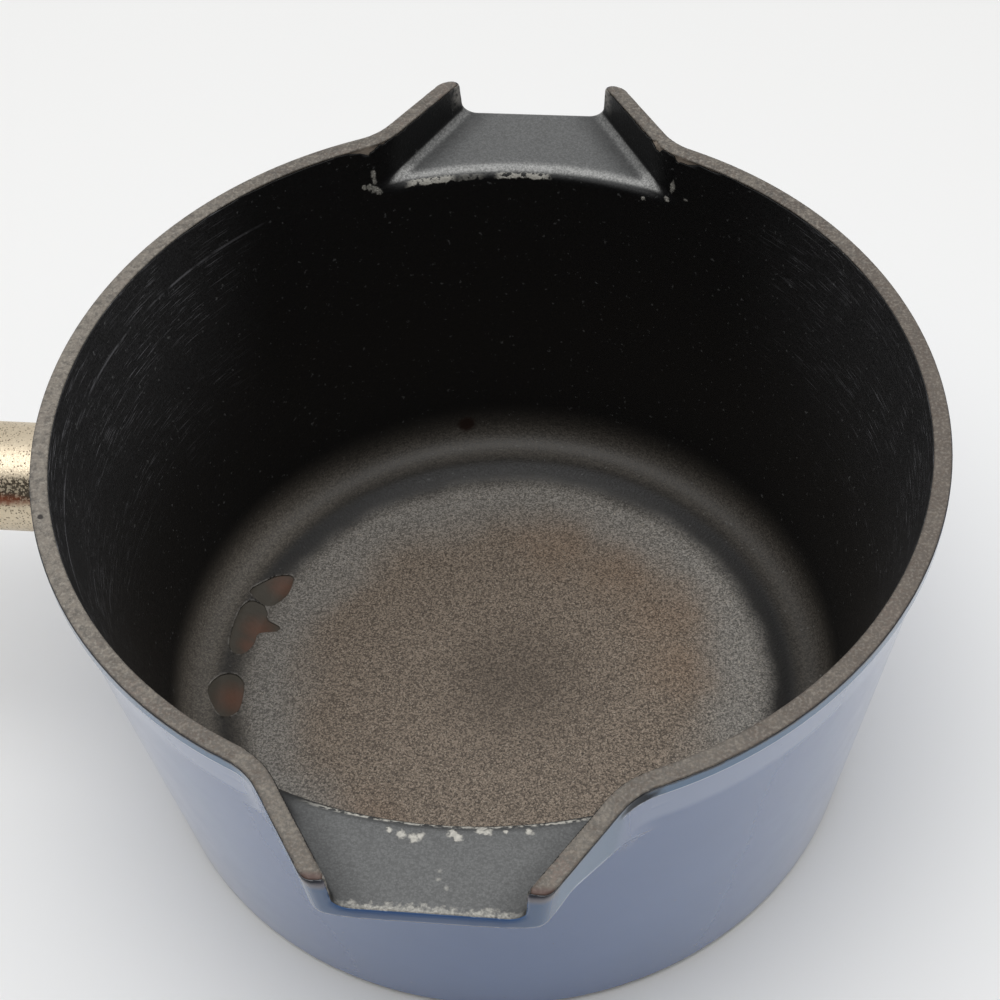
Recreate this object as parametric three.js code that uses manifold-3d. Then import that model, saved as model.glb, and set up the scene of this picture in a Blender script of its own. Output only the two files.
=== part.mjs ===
// Enamelled cast iron saucepan with two pouring spouts and a plated tube handle.
// Millimetres, +Z up. The origin is the centre of the flat base, on the pot's axis.
// The handle runs along -X, and the spouts face +Y and -Y.

import * as THREE from 'three';
import { mergeVertices } from 'three/addons/utils/BufferGeometryUtils.js';
import Module from 'manifold-3d';

// Pot: finished sizes, over the enamel
const potHeight = 102;
const rimInnerRadius = 90;
const rimWidth = 3.75;
const collarHeight = 3.2;
const collarStep = 1.0;
const collarSlope = 1.2;
const baseRadius = 82.5;
const baseFillet = 3;
const floorThickness = 4.8;
const footWall = 4.9;
const coveRadius = 6.5;
const ledgeWidth = 2.5;
const ledgeDrop = 2;
const ledgeSlope = 5.5;

// Spouts, the same on both sides
const spoutReach = 14.65;
const mouthHalfWidth = 16.7;
const rootHalfWidth = 32.5;
const cheekBlend = 15;
const troughDepth = 9;
const troughFall = 1.7;
const lipThickness = 4;
const lipCove = 6;

// Enamel coats, and the seam kept between a coat and the iron
const coatThickness = 0.4;
const coatSeam = 0.2;
const enamelFoot = 1.0;

// Handle and what holds it
const handleDrop = 27;
const bossRadius = 12.5;
const bossLength = 6;
const bossFlare = 8;
const bossSink = 3;
const seatWasherThickness = 1.5;
const tubeRadius = 12;
const tubeWall = 1.5;
const tubeLength = 145;
const spigotEngagement = 4;
const rodRadius = 4;
const bossThread = 6;
const lockWasherRadius = 7.4;
const lockWasherThickness = 2;
const lockWasherSlit = 1.2;
const nutAcrossFlats = 13;
const nutHeight = 6.5;
const plugLength = 12;
const capFlange = 3;
const capNeck = 6;
const neckRadius = 5;
const eyeRadius = 11;
const eyeHoleRadius = 5.5;
const eyeThickness = 8;
const eyeBevel = 1.5;
const fitGap = 0.3;

// Facets
const potSegments = 72;
const handleSegments = 32;
const rodSegments = 24;
const arcSteps = 5;
const spareLength = 8;

// Worked-out sizes
const rimOuterRadius = rimInnerRadius + rimWidth;
const wallTopRadius = rimOuterRadius - collarStep;
const wallTopZ = potHeight - collarHeight - collarSlope;
const ledgeZ = floorThickness + ledgeDrop;
const coveTopZ = ledgeZ + coveRadius;
const tipY = rimOuterRadius + spoutReach;
const troughTipZ = potHeight - troughDepth;
const undersideZ = troughTipZ - lipThickness;
const handleZ = potHeight - handleDrop;
const ironInset = coatThickness + coatSeam;

function outerWallRadius(z) {
  const share = (z - baseFillet) / (wallTopZ - baseFillet);
  return baseRadius + share * (wallTopRadius - baseRadius);
}

const wallFootRadius = outerWallRadius(coveTopZ) - footWall;
const innerSlope = (rimInnerRadius - wallFootRadius) / (potHeight - coveTopZ);
const troughRootRadius = rimInnerRadius - innerSlope * (troughDepth + troughFall);

// Places along the handle, measured outward from the pot's axis
const wallAtHandle = outerWallRadius(handleZ);
const bossEnd = wallAtHandle + bossLength;
const washerStart = bossEnd + fitGap;
const tubeStart = washerStart + seatWasherThickness + fitGap;
const tubeEnd = tubeStart + tubeLength;
const tubeBore = tubeRadius - tubeWall;
const spigotRadius = tubeBore - fitGap;
const spigotEnd = tubeStart + spigotEngagement;
const lockWasherStart = spigotEnd + fitGap;
const nutStart = lockWasherStart + lockWasherThickness + fitGap;
const rodHoleRadius = rodRadius + fitGap;
const rodStart = bossEnd - bossThread;
const flangeStart = tubeEnd + fitGap;
const flangeEnd = flangeStart + capFlange;
const plugStart = flangeStart - plugLength;
const rodEnd = flangeStart;
const eyeCentre = flangeEnd + capNeck + eyeRadius - (eyeRadius - eyeHoleRadius) / 2;

const wasm = await Module();
wasm.setup();

// Turns a closed geometry into a solid whose faces point out
function solidOf(geometry) {
  geometry.deleteAttribute('normal');
  geometry.deleteAttribute('uv');
  const welded = mergeVertices(geometry, 1e-5);
  const points = welded.attributes.position.array;
  const corners = welded.index.array;
  const kept = [];
  let volume = 0;
  for (let i = 0; i < corners.length; i += 3) {
    const [a, b, c] = [corners[i], corners[i + 1], corners[i + 2]];
    if (a === b || b === c || c === a) continue;
    kept.push([a, b, c]);
    const p = new THREE.Vector3().fromArray(points, 3 * a);
    const q = new THREE.Vector3().fromArray(points, 3 * b);
    const r = new THREE.Vector3().fromArray(points, 3 * c);
    volume += p.dot(q.cross(r));
  }
  const facing = volume < 0 ? kept.map(([a, b, c]) => [a, c, b]) : kept;
  return new wasm.Manifold(new wasm.Mesh({
    numProp: 3,
    vertProperties: new Float32Array(points),
    triVerts: new Uint32Array(facing.flat()),
  }));
}

function geometryOf(solid) {
  const mesh = solid.getMesh();
  const geometry = new THREE.BufferGeometry();
  geometry.setAttribute('position', new THREE.BufferAttribute(mesh.vertProperties, 3));
  geometry.setIndex(new THREE.BufferAttribute(mesh.triVerts, 1));
  geometry.computeVertexNormals();
  return geometry;
}

// Turns a profile of [radius, height] about the pot's axis
function turned(profile, segments = potSegments) {
  const geometry = new THREE.LatheGeometry(profile.map(([r, z]) => new THREE.Vector2(r, z)), segments);
  return solidOf(geometry.rotateX(Math.PI / 2));
}

// Turns a profile of [radius, distance from the pot's axis] about the handle's axis
function turnedOnHandle(profile, segments = handleSegments) {
  const geometry = new THREE.LatheGeometry(profile.map(([r, t]) => new THREE.Vector2(r, t)), segments);
  return solidOf(geometry.rotateZ(Math.PI / 2).translate(0, 0, handleZ));
}

function cylinderOnHandle(radius, start, end, segments = handleSegments) {
  return turnedOnHandle([[0, start], [radius, start], [radius, end], [0, end]], segments);
}

function ringOnHandle(inner, outer, start, end, segments = handleSegments) {
  const section = [[inner, start], [outer, start], [outer, end], [inner, end], [inner, start]];
  return turnedOnHandle(section, segments);
}

function prism(shape, lowZ, highZ) {
  const geometry = new THREE.ExtrudeGeometry(shape, { depth: highZ - lowZ, bevelEnabled: false });
  return solidOf(geometry.translate(0, 0, lowZ));
}

function box(lowCorner, highCorner) {
  const size = highCorner.map((high, i) => high - lowCorner[i]);
  const geometry = new THREE.BoxGeometry(...size);
  return solidOf(geometry.translate(...highCorner.map((high, i) => (high + lowCorner[i]) / 2)));
}

// Points on an arc, as [x, y], with both ends
function arc(centreX, centreY, radiusX, radiusY, fromAngle, toAngle) {
  return Array.from({ length: arcSteps + 1 }, (_, i) => {
    const angle = fromAngle + ((toAngle - fromAngle) * i) / arcSteps;
    return [centreX + radiusX * Math.cos(angle), centreY + radiusY * Math.sin(angle)];
  });
}

// Everything above the rim plane is ground away, and everything below lowZ is left off
function groundFlat(solid, lowZ) {
  const half = Math.max(tipY, bossEnd) + spareLength;
  return solid.intersect(box([-half, -half, lowZ], [half, half, potHeight]));
}

// Plan of one spout, facing +Y: cheeks that run tangent into a circle about the pot's axis.
// The plan lies inset from the rim's outer line, and mouthY is where it is cut off.
function spoutPlan(inset, circleRadius, mouthY) {
  const rootY = Math.sqrt(rimInnerRadius ** 2 - rootHalfWidth ** 2);
  const cheekAngle = Math.atan2(rootHalfWidth - mouthHalfWidth, tipY - rootY);
  const along = new THREE.Vector2(Math.sin(cheekAngle), -Math.cos(cheekAngle));
  const across = new THREE.Vector2(Math.cos(cheekAngle), Math.sin(cheekAngle));
  const innerTip = new THREE.Vector2(mouthHalfWidth, tipY);
  const onCheek = innerTip.clone().addScaledVector(across, rimWidth - inset);
  const blendRadius = cheekBlend + inset;
  const start = onCheek.clone().addScaledVector(across, blendRadius);
  const reach = circleRadius - inset + blendRadius;
  const lead = start.dot(along);
  const run = -lead - Math.sqrt(lead ** 2 - start.lengthSq() + reach ** 2);
  const centre = start.addScaledVector(along, run);
  const lineAngle = Math.atan2(-across.y, -across.x);
  const circleAngle = Math.atan2(-centre.y, -centre.x);
  const blend = arc(centre.x, centre.y, blendRadius, blendRadius, lineAngle, circleAngle);
  const mouthX = onCheek.x + ((onCheek.y - mouthY) * along.x) / -along.y;
  const backY = blend[arcSteps][1] / 2;
  const right = [[mouthX, mouthY], ...blend, [blend[arcSteps][0] / 2, backY]];
  const left = right.map(([x, y]) => [-x, y]).reverse();
  return new THREE.Shape([...right, ...left].map(([x, y]) => new THREE.Vector2(x, y)));
}

// A circle about the pot's axis that lies just inside the facets of a turned surface
function insideFacets(radius) {
  return radius * Math.cos(Math.PI / potSegments) - coatSeam;
}

function bothSides(solid) {
  return solid.add(solid.rotate([0, 0, 180]));
}

// The pot's outside, taken in by an inset: wall, collar, base, spouts and handle boss
function outside(inset) {
  const filletRadius = baseRadius - baseFillet;
  const fillet = arc(filletRadius, baseFillet, baseFillet - inset, baseFillet, -Math.PI / 2, 0);
  const wall = turned([
    [0, 0],
    ...fillet,
    [wallTopRadius - inset, wallTopZ],
    [rimOuterRadius - inset, wallTopZ + collarSlope],
    [rimOuterRadius - inset, potHeight + spareLength],
    [0, potHeight + spareLength],
  ]);
  return wall.add(spoutBlocks(inset)).add(boss(inset));
}

function spoutBlocks(inset) {
  const lowZ = undersideZ - lipCove;
  const wallRadius = outerWallRadius(lowZ);
  const topZ = potHeight + spareLength;
  const bandPlan = spoutPlan(inset, insideFacets(rimOuterRadius), tipY - inset);
  const blockPlan = spoutPlan(inset, insideFacets(wallRadius), tipY - inset);
  const band = prism(bandPlan, wallTopZ + collarSlope, topZ);
  const block = prism(blockPlan, lowZ, topZ);
  const farRadius = tipY + mouthHalfWidth + rimWidth;
  const cove = arc(wallRadius + lipCove, lowZ, lipCove + inset, lipCove + inset, Math.PI, Math.PI / 2);
  const underside = turned([
    [0, lowZ],
    ...cove,
    [farRadius, undersideZ + inset],
    [farRadius, topZ],
    [0, topZ],
  ]);
  return bothSides(band.add(block).intersect(underside));
}

function boss(inset) {
  const flareStart = wallAtHandle - bossSink;
  const flareRadius = bossFlare + inset;
  const flareCentre = [bossRadius + bossFlare, flareStart + bossFlare];
  const flare = arc(...flareCentre, flareRadius, flareRadius, -Math.PI / 2, -Math.PI);
  const rootStart = flareStart - bossSink;
  return turnedOnHandle([
    [0, rootStart],
    [bossRadius + bossFlare, rootStart],
    ...flare,
    [bossRadius - inset, bossEnd],
    [0, bossEnd],
  ]);
}

// The pot's inside, opened out by a growth: wall, cove, ledge, floor and spout troughs
function inside(growth) {
  const topZ = potHeight + spareLength;
  const coveFootRadius = wallFootRadius - coveRadius;
  const coveArc = coveRadius + growth;
  const cove = arc(coveFootRadius, coveTopZ, coveArc, coveArc, -Math.PI / 2, 0);
  const ledgeRadius = coveFootRadius - ledgeWidth;
  const bowl = turned([
    [0, floorThickness - growth],
    [ledgeRadius - ledgeSlope, floorThickness - growth],
    [ledgeRadius, ledgeZ - growth],
    ...cove,
    [rimInnerRadius + growth + innerSlope * spareLength, topZ],
    [0, topZ],
  ]);
  return bowl.add(bothSides(trough(growth)));
}

function trough(growth) {
  const mouthY = tipY + spareLength;
  const topZ = potHeight + spareLength;
  const lowZ = troughTipZ - troughFall - spareLength;
  const rootCircle = insideFacets(troughRootRadius) + rimWidth;
  const plan = prism(spoutPlan(rimWidth - growth, rootCircle, mouthY), lowZ, topZ);
  const fallPerLength = troughFall / (tipY - rimInnerRadius);
  const floorZ = (y) => troughTipZ - growth + (y - tipY) * fallPerLength;
  const farY = mouthY + spareLength;
  const side = [[0, floorZ(0)], [farY, floorZ(farY)], [farY, topZ + spareLength], [0, topZ + spareLength]];
  const halfWidth = rimOuterRadius;
  const shape = new THREE.Shape(side.map(([y, z]) => new THREE.Vector2(y, z)));
  const slab = new THREE.ExtrudeGeometry(shape, { depth: 2 * halfWidth, bevelEnabled: false });
  slab.translate(0, 0, -halfWidth).rotateX(Math.PI / 2).rotateZ(Math.PI / 2);
  return plan.intersect(solidOf(slab));
}

// The iron: ground rim, machined boss face with a spigot, and a tapped hole for the rod
function potCasting() {
  const spigot = cylinderOnHandle(spigotRadius, bossEnd - spareLength, spigotEnd);
  const holeEnd = spigotEnd + spareLength;
  const tappedHole = cylinderOnHandle(rodHoleRadius, rodStart - fitGap, holeEnd, rodSegments);
  const iron = groundFlat(outside(ironInset).subtract(inside(ironInset)), 0);
  return iron.add(spigot).subtract(tappedHole);
}

function outerEnamel() {
  const coat = outside(0).subtract(outside(coatThickness)).subtract(inside(ironInset));
  return groundFlat(coat, enamelFoot);
}

function innerEnamel() {
  const coat = inside(coatThickness).subtract(inside(0)).intersect(outside(0));
  return groundFlat(coat, 0);
}

function seatWasher() {
  return ringOnHandle(spigotRadius + fitGap, tubeRadius, washerStart, washerStart + seatWasherThickness);
}

function handleTube() {
  return ringOnHandle(tubeBore, tubeRadius, tubeStart, tubeEnd);
}

function tieRod() {
  return cylinderOnHandle(rodRadius, rodStart, rodEnd, rodSegments);
}

// A spring washer, slit through on one side
function lockWasher() {
  const end = lockWasherStart + lockWasherThickness;
  const ring = ringOnHandle(rodHoleRadius, lockWasherRadius, lockWasherStart, end, rodSegments);
  const slitTop = handleZ + lockWasherRadius + spareLength;
  const slitHalf = lockWasherSlit / 2;
  const slit = box([-end - fitGap, -slitHalf, handleZ], [fitGap - lockWasherStart, slitHalf, slitTop]);
  return ring.subtract(slit);
}

function jamNut() {
  const cornerRadius = nutAcrossFlats / 2 / Math.cos(Math.PI / 6);
  const end = nutStart + nutHeight;
  const hexagon = cylinderOnHandle(cornerRadius, nutStart, end, 6);
  const bore = cylinderOnHandle(rodHoleRadius, nutStart - spareLength, end + spareLength, rodSegments);
  return hexagon.subtract(bore);
}

// The end plug, tapped for the rod, with a flat hanging eye
function endCap() {
  const stem = turnedOnHandle([
    [0, plugStart],
    [spigotRadius, plugStart],
    [spigotRadius, flangeStart],
    [tubeRadius, flangeStart],
    [tubeRadius, flangeEnd],
    [neckRadius, flangeEnd + capNeck],
    [0, flangeEnd + capNeck],
  ]);
  const ringShape = new THREE.Shape();
  ringShape.absarc(-eyeCentre, 0, eyeRadius - eyeBevel, 0, 2 * Math.PI);
  const ring = new THREE.ExtrudeGeometry(ringShape, {
    depth: eyeThickness - 2 * eyeBevel,
    bevelThickness: eyeBevel,
    bevelSize: eyeBevel,
    bevelSegments: 2,
    curveSegments: handleSegments,
  });
  ring.translate(0, 0, handleZ - eyeThickness / 2 + eyeBevel);
  const holeShape = new THREE.Shape();
  holeShape.absarc(-eyeCentre, 0, eyeHoleRadius, 0, 2 * Math.PI);
  const hole = new THREE.ExtrudeGeometry(holeShape, {
    depth: eyeThickness + 2 * spareLength,
    bevelEnabled: false,
    curveSegments: rodSegments,
  });
  hole.translate(0, 0, handleZ - eyeThickness / 2 - spareLength);
  const rodHole = cylinderOnHandle(rodHoleRadius, plugStart - spareLength, rodEnd + fitGap, rodSegments);
  return stem.add(solidOf(ring)).subtract(solidOf(hole)).subtract(rodHole);
}

const finishes = {
  bareIron: new THREE.MeshStandardMaterial({ color: '#4b4541', roughness: 0.7, metalness: 0.6 }),
  blueEnamel: new THREE.MeshStandardMaterial({ color: '#7280a6', roughness: 0.25, metalness: 0 }),
  blackEnamel: new THREE.MeshStandardMaterial({ color: '#1c1c1d', roughness: 0.6, metalness: 0 }),
  nickelPlate: new THREE.MeshStandardMaterial({ color: '#c9bfae', roughness: 0.2, metalness: 1 }),
  plainSteel: new THREE.MeshStandardMaterial({ color: '#9a9b9d', roughness: 0.4, metalness: 1 }),
};

const saucepan = new THREE.Group();

function place(name, solid, finish) {
  const mesh = new THREE.Mesh(geometryOf(solid), finishes[finish].clone());
  mesh.name = name;
  saucepan.add(mesh);
}

place('pot_casting', potCasting(), 'bareIron');
place('outer_enamel', outerEnamel(), 'blueEnamel');
place('inner_enamel', innerEnamel(), 'blackEnamel');
place('seat_washer', seatWasher(), 'plainSteel');
place('handle_tube', handleTube(), 'nickelPlate');
place('tie_rod', tieRod(), 'plainSteel');
place('lock_washer', lockWasher(), 'plainSteel');
place('jam_nut', jamNut(), 'plainSteel');
place('end_cap', endCap(), 'nickelPlate');

export default saucepan;
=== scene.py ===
import math

import bpy
import numpy as np
from mathutils import Matrix, Vector


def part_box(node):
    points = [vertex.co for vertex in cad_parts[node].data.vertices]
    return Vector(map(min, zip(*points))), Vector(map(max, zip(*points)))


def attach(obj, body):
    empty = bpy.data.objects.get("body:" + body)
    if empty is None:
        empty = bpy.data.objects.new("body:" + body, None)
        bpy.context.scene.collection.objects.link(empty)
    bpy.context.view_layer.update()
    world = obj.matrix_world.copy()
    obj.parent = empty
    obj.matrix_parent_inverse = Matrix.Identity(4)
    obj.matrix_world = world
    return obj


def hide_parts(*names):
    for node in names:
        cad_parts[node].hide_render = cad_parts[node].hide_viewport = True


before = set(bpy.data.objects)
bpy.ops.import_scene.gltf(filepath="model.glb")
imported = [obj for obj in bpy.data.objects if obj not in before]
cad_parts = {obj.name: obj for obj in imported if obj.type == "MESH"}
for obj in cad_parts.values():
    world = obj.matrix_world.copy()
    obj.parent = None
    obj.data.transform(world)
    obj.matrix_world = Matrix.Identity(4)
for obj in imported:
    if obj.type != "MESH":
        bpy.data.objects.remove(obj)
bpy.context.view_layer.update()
scene = bpy.context.scene
scene.view_settings.view_transform = "Standard"

mm = 0.001  # shapes are worked out in millimetres and turned to metres when a mesh is made
farAway = 1e3  # a distance past everything that is made


def nodeBox(name):
    low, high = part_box(name)
    return np.array(low) / mm, np.array(high) / mm


def addObject(name, data):
    made = bpy.data.objects.new(name, data)
    scene.collection.objects.link(made)
    return made


# Stands at a place and looks at the aim, turned by the roll in degrees
def aimed(place, aim, roll=0.0):
    look = (aim - place).to_track_quat("-Z", "Y").to_matrix()
    turn = Matrix.Rotation(math.radians(roll), 3, "Z")
    return Matrix.Translation(place) @ (look @ turn).to_4x4()


# Camera, at the photograph's viewing angle
cameraSettings = {
    "place": (39.0, -263.1, 395.7),
    "aim": (2.97, -10.77, 88.0),
    "roll": -3.494,
    "lens": 69.51,
    "sensor": 36.0,
    "clipStart": 0.01,
}


def makeCamera(settings):
    data = bpy.data.cameras.new("photoCamera")
    data.lens = settings["lens"]
    data.sensor_width = settings["sensor"]
    data.clip_start = settings["clipStart"]
    scene.camera = addObject("photoCamera", data)
    place, aim = (Vector(settings[name]) * mm for name in ("place", "aim"))
    scene.camera.matrix_world = aimed(place, aim, settings["roll"])


makeCamera(cameraSettings)
print("camera placed")


# A screen colour as linear light, by the standard curve
def linear(colour):
    parts = [int(colour[i:i + 2], 16) / 255 for i in (1, 3, 5)]
    return [p / 12.92 if p <= 0.04045 else ((p + 0.055) / 1.055) ** 2.4 for p in parts] + [1.0]


# Adds nodes to a tree and wires them, for materials and for geometry alike
class Bench:
    def __init__(self, tree):
        self.tree = tree

    def feed(self, socket, value):
        if isinstance(value, str):
            socket.default_value = linear(value)
        elif isinstance(value, bpy.types.NodeSocket):
            self.tree.links.new(value, socket)
        else:
            socket.default_value = value

    # a node with its settings, and what goes into its sockets by name or number
    def make(self, kind, inputs=(), **settings):
        made = self.tree.nodes.new(kind)
        for key, value in settings.items():
            setattr(made, key, value)
        for key, value in dict(inputs).items():
            self.feed(made.inputs[key], value)
        return made

    def math(self, operation, *values):
        return self.make("ShaderNodeMath", enumerate(values), operation=operation).outputs[0]

    def vector(self, operation, first, second=(0, 0, 0)):
        made = self.make("ShaderNodeVectorMath", {0: first, 1: second}, operation=operation)
        return made.outputs["Value"] if operation in ("LENGTH", "DISTANCE") else made.outputs[0]

    def scale(self, vector, factor):
        return self.make("ShaderNodeVectorMath", {0: vector, "Scale": factor}, operation="SCALE").outputs[0]

    def combine(self, *parts):
        return self.make("ShaderNodeCombineXYZ", enumerate(parts)).outputs[0]

    def split(self, vector):
        return self.make("ShaderNodeSeparateXYZ", {0: vector}).outputs

    # 0 below low and 1 above high; low may be the larger, which turns it round
    def step(self, value, low, high):
        ends = {"Value": value, "From Min": min(low, high), "From Max": max(low, high),
                "To Min": float(low > high), "To Max": float(low <= high)}
        return self.make("ShaderNodeMapRange", ends, interpolation_type="SMOOTHSTEP").outputs["Result"]

    def spread(self, value, low, high):
        ends = {"Value": value, "To Min": low, "To Max": high}
        return self.make("ShaderNodeMapRange", ends).outputs["Result"]

    def fold(self, operation, first, *others):
        for other in others:
            first = self.math(operation, first, other)
        return first

    def times(self, *values):
        return self.fold("MULTIPLY", *values)

    def most(self, *values):
        return self.fold("MAXIMUM", *values)

    def sum(self, *values):
        return self.fold("ADD", *values)


kitSettings = {
    "grainFade": -0.6,
    "grainRange": (-0.22, 0.78),
    "pitPick": (0.05, -0.05),
    "pitCore": 0.4,
    "bigSpot": 4.0,
    "bigSpotGrain": 6.0,
    "spotGrain": 1.1,
    "spotDetail": 3.0,
}


# A procedural material made from settings, on Object coordinates in millimetres. A row of the settings
# is a share, the name of a mask, a list of rows to multiply, or a tuple of a kind and its values. Where
# the kind is a mask's name, the row is a step along it from 0 to 1, or with a softness, the band between
class Finish(Bench):
    def __init__(self, name, settings):
        self.material = bpy.data.materials.new(name)
        self.material.use_nodes = True
        super().__init__(self.material.node_tree)
        self.noises = {}
        self.point = self.scale(self.make("ShaderNodeTexCoord").outputs["Object"], 1 / mm)
        self.known = dict(zip("xyz", self.split(self.point)))
        self.plainKinds = {"noise": self.noise, "patches": self.patches, "grains": self.grains,
                           "spot": self.spot, "attribute": self.attribute}
        self.rowKinds = {"most": self.most, "sum": self.sum, "spread": self.spread, "waver": self.waver,
                         "pits": self.pits}
        for label, row in settings.get("masks", {}).items():
            self.known[label] = self.mask(row)
        for label, (ground, *layers) in settings["colours"].items():
            self.known[label] = self.painted(ground, layers)
        shader = self.tree.nodes["Principled BSDF"]
        self.feed(shader.inputs["Base Color"], self.known["surface"])
        for socket, row in settings["shader"].items():
            self.feed(shader.inputs[socket], self.mask(row))
        normal = None
        for row, depth in settings.get("bumps", ()):
            inputs = {"Strength": 1.0, "Distance": depth * mm, "Height": self.mask(row)}
            if normal:
                inputs["Normal"] = normal
            normal = self.make("ShaderNodeBump", inputs).outputs[0]
            self.feed(shader.inputs["Normal"], normal)

    # a mask by its name; the measures round the pot are made when they are first asked for
    def named(self, name):
        if name not in self.known:
            x, y = self.known["x"], self.known["y"]
            if name == "radius":
                self.known[name] = self.vector("LENGTH", self.combine(x, y, 0.0))
            elif name == "facing":
                self.known[name] = self.split(self.make("ShaderNodeNewGeometry").outputs["Normal"])[2]
            else:
                self.known[name] = self.math("ABSOLUTE", {"across": x, "along": y}[name])
        return self.known[name]

    def mask(self, row):
        if isinstance(row, str):
            return self.named(row)
        if isinstance(row, list):
            return self.times(*[self.mask(part) for part in row])
        if not isinstance(row, tuple):
            return row
        kind, *values = row
        if kind in self.plainKinds:
            return self.plainKinds[kind](*values)
        if kind in self.rowKinds:
            return self.rowKinds[kind](*[self.mask(value) for value in values])
        measure = self.between if len(values) > 2 else self.step
        return measure(self.named(kind), *values)

    # a ground colour and layers over it, each a colour and the rows that say where it covers
    def painted(self, colour, layers):
        for over, *rows in layers:
            inputs = {0: self.mask(rows), 6: colour, 7: self.known.get(over, over)}
            colour = self.make("ShaderNodeMix", inputs, data_type="RGBA").outputs[2]
        return colour

    # noise whose grains are about size mm across; the same noise is made once
    def noise(self, size, detail=2.0, rough=0.5, stretch=None):
        key = (size, detail, rough, stretch)
        if key not in self.noises:
            at = self.vector("MULTIPLY", self.point, stretch) if stretch else self.point
            inputs = {"Vector": at, "Scale": 1 / size, "Detail": detail, "Roughness": rough}
            self.noises[key] = self.make("ShaderNodeTexNoise", inputs).outputs[0]
        return self.noises[key]

    # noise that is 0 below low and 1 above high
    def patches(self, size, detail, rough, low, high, stretch=None):
        return self.step(self.noise(size, detail, rough, stretch), low, high)

    # cells about size mm across: a random share for each cell, and the distance from its middle
    def cells(self, size):
        made = self.make("ShaderNodeTexVoronoi", {"Vector": self.point, "Scale": 1 / size})
        return self.split(made.outputs["Color"])[0], made.outputs["Distance"]

    # grains about size mm across, each with a brightness of its own
    def grains(self, size):
        share, away = self.cells(size)
        faded = self.math("MULTIPLY_ADD", away, kitSettings["grainFade"], share)
        return self.step(faded, *kitSettings["grainRange"])

    # small round pits in that share of the cells, each that part of a cell across
    def pits(self, size, often, width):
        share, away = self.cells(size)
        picked = self.step(self.math("SUBTRACT", share, often), *kitSettings["pitPick"])
        return self.times(picked, self.step(away, width, width * kitSettings["pitCore"]))

    def attribute(self, name):
        return self.make("ShaderNodeAttribute", attribute_name=name).outputs["Fac"]

    # 1 from low to high and 0 past them
    def between(self, value, low, high, soft):
        rising = self.step(value, low - soft, low + soft)
        return self.times(rising, self.step(value, high + soft, high - soft))

    # a value moved up and down by noise, over that reach in all
    def waver(self, value, noise, reach):
        return self.math("MULTIPLY_ADD", noise, reach, self.math("ADD", value, -reach / 2))

    # 1 at a spot's middle and 0 past its ragged edge; squeeze below 1 draws it out along that axis
    def spot(self, centre, size, ragged, soft=0.35, squeeze=(1, 1, 1)):
        middle = tuple(c * s for c, s in zip(centre, squeeze))
        away = self.vector("DISTANCE", self.vector("MULTIPLY", self.point, squeeze), middle)
        grain = kitSettings["bigSpotGrain" if size > kitSettings["bigSpot"] else "spotGrain"]
        uneven = self.noise(grain, kitSettings["spotDetail"])
        uneven = self.math("MULTIPLY_ADD", uneven, 2 * ragged, -ragged)
        return self.step(self.math("ADD", away, uneven), size * (1 + soft), size * (1 - soft))


# A row of the settings for several spots, whose raggedness is a share of their size
def spots(places, ragged, soft):
    return ("most", *[("spot", place, size, size * ragged, soft) for place, size in places])


# Rounded solids as fields that are below 0 inside, in millimetres
def roundMax(first, second, radius):
    outer = np.hypot(np.maximum(first + radius, 0), np.maximum(second + radius, 0))
    return np.minimum(-radius, np.maximum(first, second)) + outer


def roundMin(first, second, radius):
    return -roundMax(-first, -second, radius)


def smoothStep(value, low, high):
    share = np.clip((value - low) / (high - low), 0, 1)
    return share * share * (3 - 2 * share)


def gradient(field, points, reach=0.02):
    sides = []
    for axis in np.eye(3) * reach:
        sides.append(field(*(points + axis).T) - field(*(points - axis).T))
    return np.stack(sides, 1) / (2 * reach)


# Moves points onto the surface, a short way at a time
def project(field, points, rounds=4, longest=0.6, flattest=0.05):
    for _ in range(rounds):
        slope = gradient(field, points)
        value = field(*points.T)
        move = (value / np.maximum((slope ** 2).sum(1), flattest))[:, None] * slope
        length = np.linalg.norm(move, axis=1)[:, None]
        points = points - move * np.minimum(1, longest / np.maximum(length, 1e-9))
    return points


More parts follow.
